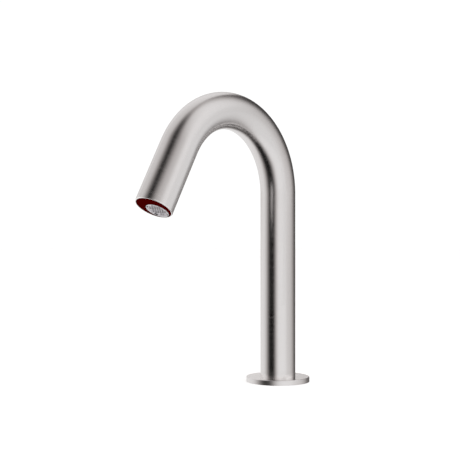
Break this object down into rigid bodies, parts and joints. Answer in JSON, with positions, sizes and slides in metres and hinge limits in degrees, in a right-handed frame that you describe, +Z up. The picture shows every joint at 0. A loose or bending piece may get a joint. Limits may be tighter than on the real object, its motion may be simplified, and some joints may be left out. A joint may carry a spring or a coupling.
{
  "type": "sensor tap",
  "caption": "Deck-mounted touch-free tap: a round brushed-metal tube bent forwards over a thin round flange, with an infrared window and a screw-in aerator in its outlet.",
  "frame": {"origin": "centre of the base flange's underside, on the deck", "axes": "+Z up out of the deck, along the column; the spout reaches out towards -Y; +X to the right of a person who stands at the basin and faces the tap"},
  "size_m": [0.0506, 0.1765, 0.225],
  "materials": {
    "brushed_tube": "brushed round the tube",
    "turned_flange": "turned, fine circular marks",
    "black_rubber": "matte",
    "brass": "machined",
    "hose": "smooth hose",
    "ferrule": "bright",
    "white_plastic": "moulded",
    "cable_jacket": "smooth",
    "plated_brass": "nickel plated",
    "black_plastic": "moulded",
    "gold_contact": "gold plated",
    "steel_screw": "plain steel",
    "infrared_window": "dark red, polished",
    "circuit_board": "green lacquer",
    "diode_clear": "clear resin",
    "diode_dark": "dark resin",
    "aerator_metal": "light satin",
    "steel_screen": "plain",
    "green_plastic": "moulded"
  },
  "bodies": {
    "tap": {"spout_tube": "brushed_tube", "base_flange": "turned_flange", "base_core": "brass", "deck_seal": "black_rubber", "inlet_nipple": "brass", "outlet_nipple": "brass", "nipple_washers": "black_rubber", "inner_hose": "hose", "hose_ferrules": "ferrule", "hose_spacers": "white_plastic", "sensor_cable": "cable_jacket", "socket_shell": "plated_brass", "socket_insulator": "black_plastic", "contact_pins": "gold_contact", "outlet_insert": "brass", "insert_o_ring": "black_rubber", "insert_grub_screw": "steel_screw", "sensor_window": "infrared_window", "sensor_case": "black_plastic", "sensor_cap": "black_plastic", "sensor_board": "circuit_board", "infrared_emitter": "diode_clear", "infrared_receiver": "diode_dark", "sensor_leads": "gold_contact"},
    "aerator_seal": {"aerator_washer": "black_rubber"},
    "aerator": {"aerator_housing": "aerator_metal", "aerator_grille": "white_plastic", "air_screens": "steel_screen", "jet_plate": "white_plastic", "flow_regulator": "green_plastic", "regulator_ring": "black_rubber", "inlet_strainer": "white_plastic"}
  },
  "joints": [
    {"name": "aerator_out", "type": "slide", "parent": "tap", "child": "aerator_seal", "axis": [0, -0.5, -0.866], "range_m": [0, 0.005]},
    {"name": "aerator_turn", "type": "hinge", "parent": "aerator_seal", "child": "aerator", "pos_m": [0, -0.13544, 0.13467], "axis": [0, -0.5, -0.866], "range_deg": [0, 1800]}
  ],
  "couplings": [
    {"joint": "aerator_out", "follows": "aerator_turn", "m_per_rad": 0.00015915}
  ]
}
